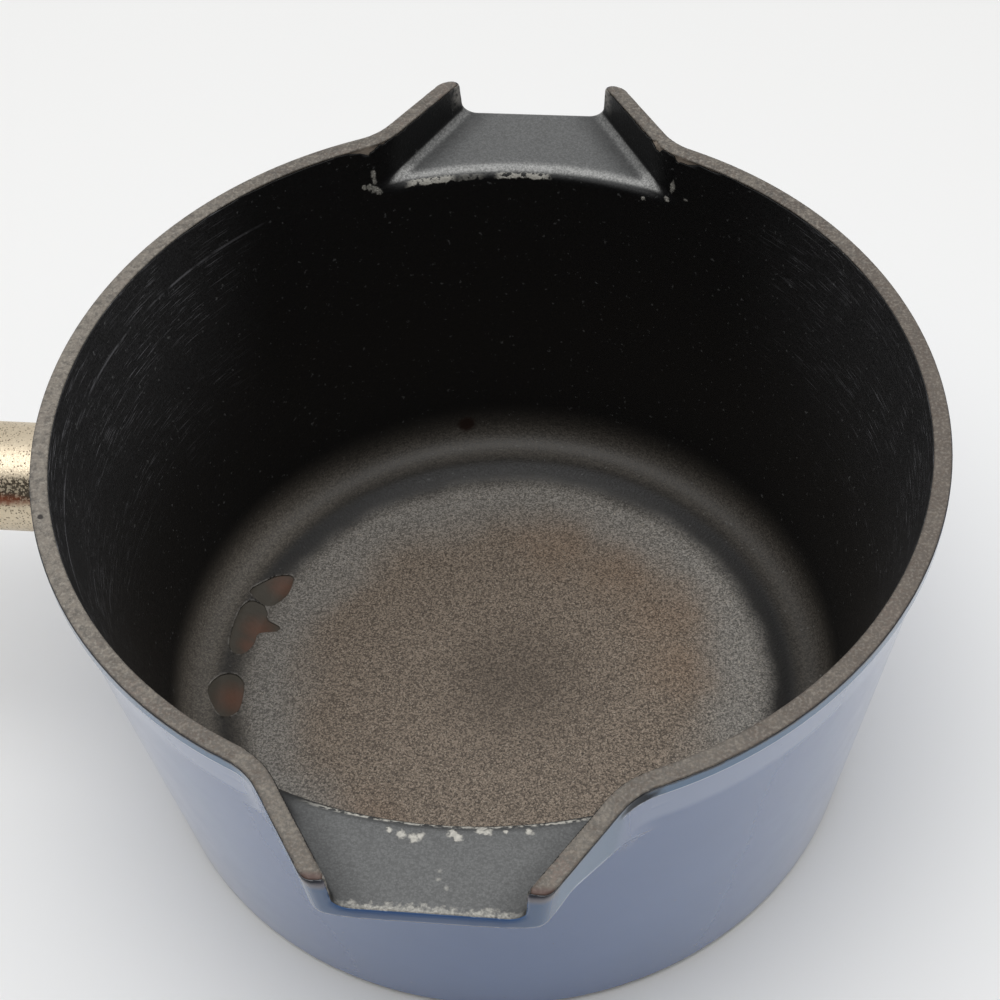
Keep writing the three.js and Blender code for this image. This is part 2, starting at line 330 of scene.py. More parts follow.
# One vertex in each grid cell that the surface passes through, one face across each grid edge
def surfaceNet(field, nodes, closed):
    values = field(nodes[..., 0], nodes[..., 1], nodes[..., 2])
    if closed:
        nodes = np.concatenate([nodes, nodes[:1]])
        values = np.concatenate([values, values[:1]])
    cells = [n - 1 for n in values.shape]
    corner = [(a, b, c) for a in (0, 1) for b in (0, 1) for c in (0, 1)]

    def window(data, a, b, c):
        return data[a:a + cells[0], b:b + cells[1], c:c + cells[2]]

    filled = sum(window(values < 0, *c).astype(int) for c in corner)
    active = (filled > 0) & (filled < len(corner))
    cornerValues = np.stack([window(values, *c)[active] for c in corner])
    cornerPoints = np.stack([window(nodes, *c)[active] for c in corner])
    total = np.zeros((active.sum(), 3))
    count = np.zeros(active.sum())
    for one in range(len(corner)):
        for other in range(one + 1, len(corner)):
            if sum(abs(p - q) for p, q in zip(corner[one], corner[other])) != 1:
                continue
            crossed = (cornerValues[one] < 0) != (cornerValues[other] < 0)
            gap = np.where(crossed, cornerValues[one] - cornerValues[other], 1)
            share = (cornerValues[one] / gap)[:, None]
            crossing = cornerPoints[one] * (1 - share) + cornerPoints[other] * share
            total += np.where(crossed[:, None], crossing, 0)
            count += crossed
    points = total / count[:, None]
    index = np.full(cells, -1)
    index[active] = np.arange(active.sum())
    faces = []
    for axis in range(3):
        ahead = np.roll(values, -1, axis)
        others = [a for a in range(3) if a != axis]
        places = np.argwhere((values < 0) != (ahead < 0))
        keep = places[:, axis] < cells[axis]
        for other in others:
            keep &= places[:, other] < cells[other]
            if other or not closed:
                keep &= places[:, other] > 0
        places = places[keep]
        ring = []
        for back in ((0, 0), (1, 0), (1, 1), (0, 1)):
            cell = places.copy()
            cell[:, others] -= back
            if closed:
                cell[:, 0] %= cells[0]
            ring.append(index[tuple(cell.T)])
        faces.append(np.stack(ring, 1))
    faces = np.concatenate(faces)
    points = project(field, points)
    middle = points[faces].mean(1)
    across = np.cross(points[faces[:, 2]] - points[faces[:, 0]], points[faces[:, 3]] - points[faces[:, 1]])
    inward = (across * gradient(field, middle)).sum(1) < 0
    faces[inward] = faces[inward][:, ::-1]
    return points, [list(f) for f in faces]


# Keeps the part of a mesh where value is below 0, cutting the faces that cross
def clip(points, faces, values):
    points = list(points)
    kept = []
    cuts = {}

    def cut(a, b):
        key = (min(a, b), max(a, b))
        if key not in cuts:
            share = values[key[0]] / (values[key[0]] - values[key[1]])
            cuts[key] = len(points)
            points.append(points[key[0]] * (1 - share) + points[key[1]] * share)
        return cuts[key]

    below = values < 0
    for face in faces:
        inside = [below[v] for v in face]
        if all(inside):
            kept.append(face)
        elif any(inside):
            trimmed = []
            for a, b in zip(face, face[1:] + face[:1]):
                if below[a]:
                    trimmed.append(a)
                if below[a] != below[b]:
                    trimmed.append(cut(a, b))
            kept.append(trimmed)
    used = sorted({v for face in kept for v in face})
    renamed = {old: new for new, old in enumerate(used)}
    return np.array([points[v] for v in used]), [[renamed[v] for v in face] for face in kept]


def addMesh(name, points, faces, material):
    mesh = bpy.data.meshes.new(name)
    mesh.from_pydata((np.asarray(points) * mm).tolist(), [], faces)
    mesh.validate()
    mesh.materials.append(material)
    mesh.polygons.foreach_set("use_smooth", [True] * len(mesh.polygons))
    return addObject(name, mesh)


# Turns a piece's modifiers into plain mesh
def bakeModifiers(piece):
    graph = bpy.context.evaluated_depsgraph_get()
    baked = bpy.data.meshes.new_from_object(piece.evaluated_get(graph))
    piece.modifiers.clear()
    piece.data = baked
    baked.name = piece.name


def finishPiece(piece, slot, *nodes):
    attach(piece, "root")
    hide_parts(*nodes)
    print(piece.name, "made with", len(piece.data.polygons), "faces")


# Pot: the finished surface, from the solids' own box and these sizes
potSettings = {
    "rimWidth": 3.75,
    "rimEdge": 0.45,
    "collarHeight": 3.2,
    "collarStep": 1.0,
    "collarSlope": 0.9,
    "baseRadius": 82.5,
    "baseFillet": 3.0,
    "floorThickness": 4.8,
    "footWall": 4.9,
    "coveRadius": 6.5,
    "ledgeWidth": 2.5,
    "ledgeDrop": 2.0,
    "ledgeSlope": 5.5,
    "ledgeSoft": 0.6,
    "coat": 0.4,
    "coatSeam": 0.02,
    "ironRise": (0.1, 0.8),
    "enamelFoot": 1.0,
    "seamHeight": 52.0,
}
# Spouts: endRound, cornerRound and mouthEdge give the front's size and then the back's, which is rounder
spoutSettings = {
    "mouthHalfWidth": 16.7,
    "rootHalfWidth": 32.5,
    "cheekBlend": 15.0,
    "cheekLean": 0.05,
    "troughDepth": 9.0,
    "troughFall": 1.7,
    "troughFillet": 2.5,
    "rollOver": 3.0,
    "lipThickness": 4.0,
    "lipRise": 2.5,
    "lipPower": 6,
    "lipRound": 1.0,
    "sideRound": 1.4,
    "sideRoundRun": (2, 8),
    "sideDraft": 0.08,
    "gussetReach": 13.0,
    "gussetSlope": 0.8,
    "gussetSoft": 1.5,
    "coveReach": 3.0,
    "coveDepth": 0.15,
    "endRound": (1.4, 1.6),
    "cornerRound": (1.3, 1.9),
    "mouthEdge": (0.9, 1.7),
    "mouthRun": (4, 0.5),
}
bossSettings = {"radius": 12.5, "flare": 8.0, "edge": 0.8, "seatGap": 0.3}

rimOuter, tipY, potTop = nodeBox("outer_enamel")[1]
tubeLow, tubeHigh = nodeBox("handle_tube")
handleZ = (tubeLow[2] + tubeHigh[2]) / 2
tubeRadius = (tubeHigh[2] - tubeLow[2]) / 2
bossEnd = -nodeBox("seat_washer")[1][0] - bossSettings["seatGap"]

seamZ = potSettings["seamHeight"]
rimInner = rimOuter - potSettings["rimWidth"]
collarZ = potTop - potSettings["collarHeight"]
wallTopZ = collarZ - potSettings["collarSlope"]
wallTop = rimOuter - potSettings["collarStep"]
wallSlope = (wallTop - potSettings["baseRadius"]) / (wallTopZ - potSettings["baseFillet"])
ledgeZ = potSettings["floorThickness"] + potSettings["ledgeDrop"]
coveTopZ = ledgeZ + potSettings["coveRadius"]
ironInset = potSettings["coat"] + potSettings["coatSeam"]


def wallRadius(z):
    straight = potSettings["baseRadius"] + wallSlope * (np.minimum(z, wallTopZ) - potSettings["baseFillet"])
    return straight + potSettings["collarStep"] * smoothStep(z, wallTopZ, collarZ)


wallFoot = wallRadius(coveTopZ) - potSettings["footWall"]
innerSlope = (rimInner - wallFoot) / (potTop - coveTopZ)
rootY = math.sqrt(rimInner ** 2 - spoutSettings["rootHalfWidth"] ** 2)
cheekAngle = math.atan2(spoutSettings["rootHalfWidth"] - spoutSettings["mouthHalfWidth"], tipY - rootY)
cheekAlong = np.array([math.sin(cheekAngle), -math.cos(cheekAngle)])
cheekAcross = np.array([math.cos(cheekAngle), math.sin(cheekAngle)])
cheekPoint = np.array([spoutSettings["mouthHalfWidth"], tipY]) + cheekAcross * potSettings["rimWidth"]
cheekLine = cheekPoint @ cheekAcross


# A size of the front spout, or of the back one where y is above 0
def spoutSize(name, y):
    front, back = spoutSettings[name]
    return np.where(y > 0, back, front)


# Distance from the pot's outer line in plan: a circle with cheeks, moved inward, blended into it
def planDistance(x, y, circle, mouthEnd, inward):
    corner = spoutSize("cornerRound", y)
    x, y = np.abs(x), np.abs(y)
    blend = spoutSettings["cheekBlend"]
    offset = cheekLine - inward + blend
    run = -np.sqrt((circle + blend) ** 2 - offset ** 2)
    centreX = cheekAcross[0] * offset + cheekAlong[0] * run
    centreY = cheekAcross[1] * offset + cheekAlong[1] * run
    line = x * cheekAcross[0] + y * cheekAcross[1] - cheekLine + inward
    plain = np.minimum(np.hypot(x, y) - circle, roundMax(line, mouthEnd, corner))
    fromX, fromY = x - centreX, y - centreY
    pastLine = cheekAcross[1] * fromX - cheekAcross[0] * fromY
    pastCircle = fromY * centreX - fromX * centreY
    turn = np.sign(cheekAcross[0] * centreY - cheekAcross[1] * centreX)
    inBlend = (pastLine * turn > 0) & (pastCircle * turn > 0)
    return np.where(inBlend, blend - np.hypot(fromX, fromY), plain)


def bossField(x, y, z):
    side = np.hypot(y, z - handleZ) - bossSettings["radius"]
    return np.where(x < 0, roundMax(side, -x - bossEnd, bossSettings["edge"]), farAway)


def outsideField(x, y, z):
    radius = np.hypot(x, y)
    circle = wallRadius(z)
    fromWall = np.maximum(radius - circle, 0)
    reach = np.maximum(spoutSettings["gussetReach"] - fromWall, 0)
    cove = np.maximum(spoutSettings["coveReach"] - fromWall, 0)
    drop = spoutSettings["gussetSlope"] * reach ** 2 / (reach + spoutSettings["gussetSoft"])
    drop = drop + spoutSettings["coveDepth"] * cove ** 2
    halfWidth = cheekPoint[0] + (cheekPoint[1] - np.abs(y)) * math.tan(cheekAngle)
    aside = np.clip(np.abs(x) / np.maximum(halfWidth, 1), 0, 1)
    lip = potTop - spoutSettings["troughDepth"] - spoutSettings["lipThickness"]
    underside = lip + spoutSettings["lipRise"] * aside ** spoutSettings["lipPower"] - drop
    endRound = spoutSize("endRound", y)
    high = np.clip(z - potTop + endRound, 0, endRound)
    mouthEnd = np.abs(y) - tipY + endRound - np.sqrt(endRound ** 2 - high ** 2)
    plan = planDistance(x, y, circle, mouthEnd, spoutSettings["sideDraft"] * (potTop - z))
    fromTip = smoothStep(tipY - np.abs(y), *spoutSettings["sideRoundRun"])
    spout = roundMax(plan, underside - z, spoutSettings["lipRound"] + spoutSettings["sideRound"] * fromTip)
    wall = roundMin(radius - circle, bossField(x, y, z), bossSettings["flare"])
    return np.minimum(wall, spout)


def insideField(x, y, z):
    radius = np.hypot(x, y)
    depth = potTop - z
    inner = rimInner - innerSlope * depth
    roll = spoutSettings["rollOver"]
    near = np.clip(inner + roll - radius, 0, roll)
    drop = roll - np.sqrt(roll ** 2 - near ** 2)
    fall = spoutSettings["troughFall"] / (tipY - rimInner)
    floorZ = potTop - spoutSettings["troughDepth"] + (np.abs(y) - tipY) * fall - drop
    plan = planDistance(x, y, rimOuter - innerSlope * depth, -farAway, spoutSettings["cheekLean"] * depth)
    trough = roundMax(plan + potSettings["rimWidth"], floorZ - z, spoutSettings["troughFillet"])
    return np.minimum(radius - inner, trough)


# Where the coats stop at the ground rim: an uneven line just under the top. The black's line is ragged
# at the back, and lower at nicks given as an angle round the pot, half a width in degrees and a depth.
# A wave is its height, how many there are in a turn, and a shift
rimSettings = {
    "drop": 0.34,
    "wave": 0.1,
    "waves": [(0.5, 23, 1), (0.3, 57, 2), (0.3, 131, 0)],
    "ragged": 0.5,
    "raggedWaves": [(1, 97, 2), (1, 211, 0)],
    "raggedFrom": (30, 70),
    "nicks": [(114.2, 2.1, 1.5), (111.2, 1.0, 0.2), (73.5, 2.6, 0.45), (70.6, 1.2, 2.0), (65.7, 1.6, 1.7)],
    "nickWaves": [(0.15, 7.3, 0), (0.1, 13.1, 0)],
    "nickShare": 0.85,
    "nickRough": 0.3,
    "rubShare": 0.7,
    "rubStart": 0.3,
    "rubEdge": 0.2,
}


def waves(turn, parts):
    return [share * np.sin(count * turn + shift) for share, count, shift in parts]


def nickDepth(x, y):
    turn = np.degrees(np.arctan2(y, x))
    depth = np.zeros_like(turn)
    for angle, half, deepest in rimSettings["nicks"]:
        depth = np.maximum(depth, deepest * np.clip(1 - ((turn - angle) / half) ** 2, 0, 1))
    return depth * (rimSettings["nickShare"] + sum(waves(turn, rimSettings["nickWaves"])))


def rimLine(points, flaked):
    turn = np.arctan2(points[:, 1], points[:, 0])
    wave = sum(waves(turn, rimSettings["waves"]))
    line = potTop - rimSettings["drop"] - rimSettings["wave"] * wave
    if flaked:
        line = line - nickDepth(points[:, 0], points[:, 1]) * (1 + rimSettings["nickRough"] * wave)
        long, short = waves(turn, rimSettings["raggedWaves"])
        ragged = rimSettings["ragged"] * (1 + long * short) / 2
        line = line - ragged * smoothStep(points[:, 1], *rimSettings["raggedFrom"])
    return line


def potField(x, y, z):
    edge = potSettings["rimEdge"]
    start, end = spoutSettings["mouthRun"]
    mouthEdge = edge + spoutSize("mouthEdge", y) * smoothStep(np.abs(y), tipY - start, tipY - end)
    inside = insideField(x, y, z)
    shell = roundMax(outsideField(x, y, z), -inside, mouthEdge)
    rubbed = rimSettings["rubShare"] * nickDepth(x, y) - rimSettings["rubStart"]
    rubbed = (rubbed - (potTop - z) - inside) / math.sqrt(2)
    return roundMax(roundMax(shell, z - potTop, edge), rubbed, rimSettings["rubEdge"])


# The iron lies under the coats and comes out to the surface at the ground rim
def ironField(x, y, z):
    return potField(x, y, z) + ironInset * smoothStep(potTop - z, *potSettings["ironRise"])


# Grid round the pot, fine at the spouts, the handle's boss and the rim; zones are from, to and spacing
gridSettings = {
    "angles": [(-90, -66, 0.3), (-66, 66, 2), (66, 114, 0.3), (114, 150, 2), (150, 206, 0.8),
               (206, 246, 2), (246, 270, 0.3)],
    "heights": [(0, 80, 3.0), (80, 98, 0.6), (98, 110, 0.33)],
    "ironHeights": [(0, 90, 5.0), (90, 98, 0.8), (98, 110, 0.35)],
    "offsets": 0.45,
    "margin": 2.0,
    "belowSeam": 4,
    "aboveTop": 0.62,
}


def zoned(low, high, zones):
    marks = [low]
    while marks[-1] < high - 1e-9:
        here = marks[-1] + 1e-6
        size = next(size for start, end, size in zones if start <= here < end)
        marks.append(min(marks[-1] + size, high))
    return np.array(marks)


def potGrid(heightZones):
    first, last = gridSettings["angles"][0][0], gridSettings["angles"][-1][1]
    angles = np.radians(zoned(first, last, gridSettings["angles"])[:-1])
    heights = zoned(seamZ - gridSettings["belowSeam"], potTop + gridSettings["aboveTop"], heightZones)
    low = rimInner - gridSettings["margin"]
    high = math.hypot(tipY, cheekPoint[0]) + gridSettings["margin"]
    offsets = np.arange(low, high, gridSettings["offsets"])
    angle, offset, height = np.meshgrid(angles, offsets, heights, indexing="ij")
    radius = offset - (wallSlope + innerSlope) / 2 * (potTop - height)
    return np.stack([radius * np.cos(angle), radius * np.sin(angle), height], -1)


# The pot below the seam is turned, more finely inside where the chips are
turnSettings = {
    "spacing": 2.0,
    "chipSpacing": 0.8,
    "chipAngles": (150, 206),
    "spacingSlack": 0.05,
    "seamReach": 1.5,
    "seamSlack": 1e-6,
    "aimHeight": 20.0,
    "wallSteps": 12,
    "filletSteps": 9,
    "footSteps": 6,
    "baseRings": 12,
    "baseHub": 6,
    "innerSteps": 9,
    "aboveCove": 1,
    "coveSteps": 10,
    "ringStep": 0.6,
    "fineReach": 8,
    "coarseFrom": 9,
    "coarseRings": 12,
    "floorHub": 4,
}


# Faces of a turned sheet all face one way, so one of them says whether to flip them
def faceAway(points, made, inside):
    corners = np.array([points[v] for v in made[len(made) // 2]])
    normal = sum(np.cross(a, b) for a, b in zip(corners, np.roll(corners, -1, 0)))
    outward = np.array([*corners.mean(0)[:2], -turnSettings["aimHeight"]])
    return made if (normal @ outward < 0) == inside else [face[::-1] for face in made]


# Continues a clipped sheet below the seam by turning a profile, from its own ring of points
def addTurned(points, faces, profile, inside, closed):
    points = list(points)
    ring = []
    for i, (x, y, z) in enumerate(points):
        near = abs(math.hypot(x, y) - profile[0][0]) < turnSettings["seamReach"]
        if near and abs(z - seamZ) < turnSettings["seamSlack"]:
            ring.append((math.atan2(y, x), i))
    ring.sort()
    angles = np.degrees([angle for angle, i in ring]) % 360
    onSeam = [i for angle, i in ring]
    low, high = turnSettings["chipAngles"]
    picks = [0]
    for i in range(1, len(onSeam)):
        spacing = turnSettings["chipSpacing" if inside and low <= angles[i] <= high else "spacing"]
        if (angles[i] - angles[picks[-1]]) % 360 >= spacing - turnSettings["spacingSlack"]:
            picks.append(i)
    count = len(picks)
    start = len(points)
    end = start + (len(profile) - 2) * count
    turns = np.radians(angles[picks])
    for radius, z in profile[1:]:
        points += [np.array([radius * math.cos(turn), radius * math.sin(turn), z]) for turn in turns]
    made = []
    for c in range(count):
        following = (c + 1) % count
        last = picks[following] if following else len(onSeam)
        strip = [onSeam[k % len(onSeam)] for k in range(picks[c], last + 1)]
        made.append([start + c, start + following] + strip[::-1])
        for a in range(start, end, count):
            b = a + count
            made.append([a + c, b + c, b + following, a + following])
    if closed:
        points.append(np.array([0, 0, profile[-1][1]]))
        made += [[end + c, len(points) - 1, end + (c + 1) % count] for c in range(count)]
    return np.array(points), list(faces) + faceAway(points, made, inside)


def arcPoints(centre, radius, fromAngle, toAngle, steps):
    turns = np.linspace(math.radians(fromAngle), math.radians(toAngle), steps + 1)
    return [(centre[0] + radius * math.cos(t), centre[1] + radius * math.sin(t)) for t in turns]


# The outside from the seam down: to the enamel's foot, or to the middle of the base if foot is 0
def outerProfile(inset, foot):
    fillet = potSettings["baseFillet"]
    heights = np.linspace(seamZ, fillet, turnSettings["wallSteps"])
    profile = [(float(wallRadius(z)) - inset, z) for z in heights]
    centre = (potSettings["baseRadius"] - fillet, fillet)
    if foot > 0:
        stop = math.degrees(math.asin((foot - fillet) / fillet))
        return profile + arcPoints(centre, fillet, 0, stop, turnSettings["footSteps"])[1:]
    profile += arcPoints(centre, fillet, 0, -90, turnSettings["filletSteps"])[1:]
    rings = np.linspace(centre[0], turnSettings["baseHub"], turnSettings["baseRings"])[1:]
    return profile + [(radius, 0.0) for radius in rings]


# The inside from the seam down the wall and its cove, over the ledge, to the middle of the floor
def innerProfile(growth):
    cove = potSettings["coveRadius"]
    lean = math.atan(innerSlope)
    turns = (-math.degrees(lean), -90, turnSettings["coveSteps"])
    centreR = rimInner - innerSlope * (potTop - coveTopZ) - cove / math.cos(lean)
    heights = np.linspace(seamZ, coveTopZ + turnSettings["aboveCove"], turnSettings["innerSteps"])
    profile = [(rimInner - innerSlope * (potTop - z) + growth, z) for z in heights]
    profile += arcPoints((centreR, coveTopZ), cove + growth, *turns)
    ledgeEnd = centreR - potSettings["ledgeWidth"]
    floorEnd = ledgeEnd - potSettings["ledgeSlope"]
    step, soft = turnSettings["ringStep"], potSettings["ledgeSoft"]
    fine = np.arange(centreR - step, floorEnd - turnSettings["fineReach"], -step)
    coarse = floorEnd - turnSettings["coarseFrom"]
    coarse = np.linspace(coarse, turnSettings["floorHub"], turnSettings["coarseRings"])
    for radius in np.concatenate([fine, coarse]):
        rise = potSettings["ledgeDrop"] * float(smoothStep(radius, floorEnd - soft, ledgeEnd + soft))
        profile.append((radius, potSettings["floorThickness"] + rise - growth))
    return profile


# Places on the floor's ledge where the black coat has come off, as outlines seen from above
chipSettings = {
    "upper": [(-67, 22.5), (-64.5, 25), (-61, 28), (-57.5, 29), (-57, 26.5), (-58, 22.5), (-61.5, 19),
              (-65, 20)],
    "middle": [(-65.5, 19.5), (-62, 17.5), (-61.5, 15), (-58, 13), (-58.5, 11.5), (-63, 10.5), (-63.5, 7.5),
               (-65.5, 4), (-68, 3.5), (-69.5, 7), (-68.5, 16.5)],
    "lower": [(-66.5, -2.5), (-64, -4.5), (-63.5, -9.5), (-64, -13), (-66.5, -15.5), (-69, -14), (-72, -8.5),
              (-70.5, -4.5)],
}


# A smooth closed line through the corners
def roundedLine(corners, steps=6):
    corners = np.array(corners, float)
    before, after, later = np.roll(corners, 1, 0), np.roll(corners, -1, 0), np.roll(corners, -2, 0)
    bend = 2 * before - 5 * corners + 4 * after - later
    twist = 3 * (corners - after) + later - before
    parts = []
    for share in np.arange(steps) / steps:
        parts.append(corners + 0.5 * share * (after - before + share * (bend + share * twist)))
    return np.stack(parts, 1).reshape(-1, 2)


# Distance from a closed line, below 0 inside it
def outlineDistance(places, line):
    nearest = np.full(len(places), np.inf)
    inside = np.zeros(len(places), bool)
    for start, end in zip(line, np.roll(line, -1, 0)):
        along = end - start
        share = np.clip(((places - start) @ along) / (along @ along), 0, 1)
        nearest = np.minimum(nearest, np.linalg.norm(places - start - share[:, None] * along, axis=1))
        spans = (start[1] > places[:, 1]) != (end[1] > places[:, 1])
        rise = along[1] if along[1] else 1e-9
        inside ^= spans & (places[:, 0] < start[0] + along[0] * (places[:, 1] - start[1]) / rise)
    return np.where(inside, -nearest, nearest)


# Above 0 inside a chip, and below 0 by the distance to the nearest one outside
def chipField(points):
    low = points[:, 2] < coveTopZ
    field = np.full(len(points), -farAway)
    for corners in chipSettings.values():
        field[low] = np.maximum(field[low], -outlineDistance(points[low, :2], roundedLine(corners)))
    return field


# The two coats' sheets, cut from the finished surface
def makeCoats():
    points, faces = surfaceNet(potField, potGrid(gridSettings["heights"]), True)
    print("pot surface has", len(faces), "faces")
    x, y, z = points.T
    side = outsideField(x, y, z) + insideField(x, y, z)
    bossCut = -x - (bossEnd - bossSettings["edge"] / 2)
    blue = clip(points, faces, np.maximum.reduce([-side, z - rimLine(points, False), seamZ - z, bossCut]))
    black = clip(points, faces, np.maximum.reduce([side, z - rimLine(points, True), seamZ - z]))
    blue = addTurned(*blue, outerProfile(0, potSettings["enamelFoot"]), False, False)
    points, faces = addTurned(*black, innerProfile(0), True, True)
    return blue, clip(points, faces, chipField(points))


def makeIron():
    points, faces = surfaceNet(ironField, potGrid(gridSettings["ironHeights"]), True)
    sheet = clip(points, faces, seamZ - points[:, 2])
    sheet = addTurned(*sheet, outerProfile(ironInset, 0), False, True)
    return addTurned(*sheet, innerProfile(ironInset), True, True)


# Blue enamel outside: glossy, a little clouded, thin and dark where it ends at the ground rim
blueSettings = {
    "masks": {
        "fine": ("noise", 0.9, 3.0),
        "ragged": ("sum", "z", ("noise", 2.5, 3.0)),
        "spouts": [("radius", 94.5, 96.5), ("z", 86, 88)],
        "collar": ("most", ("z", potTop - 3.6, potTop - 2.6), "spouts"),
        "mouth": ("along", tipY - 3.0, tipY - 2.2),
        "lip": ["mouth", ("spread", ("across", 22, 12), 0.45, 0.75), ("facing", -0.8, -0.5)],
        "burnt": ("spot", (35.2, -87.9, 99.9), 2.6, 0.8, 0.5, (0.6, 0.6, 1.2)),
        "gloss": ("spread", ("most", "burnt", ["lip", 0.8], ["collar", 0.3]), 0.5, 0.05),
    },
    "colours": {"surface": [
        "#475f8c",
        ("#5d749f", ("noise", 45, 3.0)),  # paler clouds
        ("#416882", "collar", 0.65),  # greener collar
        # pale where the spout's underside turns: a painted highlight, the pale floor's reflection
        ("#c6cfdf", ("facing", -0.6, -0.12, 0.04), ("z", 86, 89), ("spread", "mouth", 0.9, 0.3)),
        ("#2f446e", "lip"),
        ("#6f6663", "mouth", ("z", potTop - 3.2, potTop - 1.2), 0.75),  # worn ends of the cheeks
        ("#2b2d33", ("fine", 0.72, 0.8), 0.5),  # specks
        # scuffs
        ("#aab2c0", ("patches", 1.6, 4.0, 0.7, 0.66, 0.76), ("patches", 22, 2.0, 0.5, 0.58, 0.72), 0.5),
        ("#2b2d33", ("ragged", potTop - 0.65, potTop + 0.1)),  # thin at the rim
        ("#101218", "burnt", 0.95),
        ("#5a3a2b", ("spot", (21.9, -107.7, 91.0), 1.3, 0.8)),  # a rusty chip
    ]},
    "shader": {"Coat Roughness": 0.05, "Specular IOR Level": "gloss", "Coat Weight": "gloss",
               "Roughness": ("spread", ("noise", 7, 3.0), 0.1, 0.22)},
    "bumps": [(("noise", 5.0, 1.0), 0.02), ("fine", 0.004)],
}

# Black enamel inside: matt, worn grey and brown on the floor, with scale at the spouts' edges
innerLine = cheekLine - potSettings["rimWidth"]
markSettings = {
    "blobs": [((-35.8, 81.1, 90.2), 0.9), ((-34.9, 81.4, 89.5), 0.8), ((-37.9, 80.2, 91.4), 0.6),
              ((-36.8, 80.7, 91.3), 0.6), ((33.8, 81.9, 89.5), 0.6), ((28.1, 83.7, 87.9), 0.5),
              ((38.0, 80.1, 91.0), 0.45)],
    "flakes": [((-9.3, -91.4, 91.4), 0.5), ((-7.0, -92.3, 91.5), 0.8), ((-4.6, -92.8, 91.5), 0.9),
               ((-3.5, -92.3, 91.4), 0.7), ((2.1, -91.2, 91.3), 0.8), ((3.3, -92.2, 91.4), 0.8),
               ((7.2, -90.0, 91.0), 1.0), ((8.3, -90.4, 91.2), 0.8), ((4.7, -89.0, 90.1), 0.7),
               ((15.9, -89.9, 91.3), 0.7), ((11.7, -90.2, 91.2), 0.4)],
    "specks": [((0.9, -99.4, 92.1), 0.4), ((0.8, -101.2, 92.3), 0.35), ((2.4, -102.8, 92.4), 0.4)],
    "orange": [((10, 44, 5), 9), ((26, 37, 5), 9), ((39, 24, 5), 9), ((42, 8, 5), 8), ((-30, -42, 5), 8)],
}
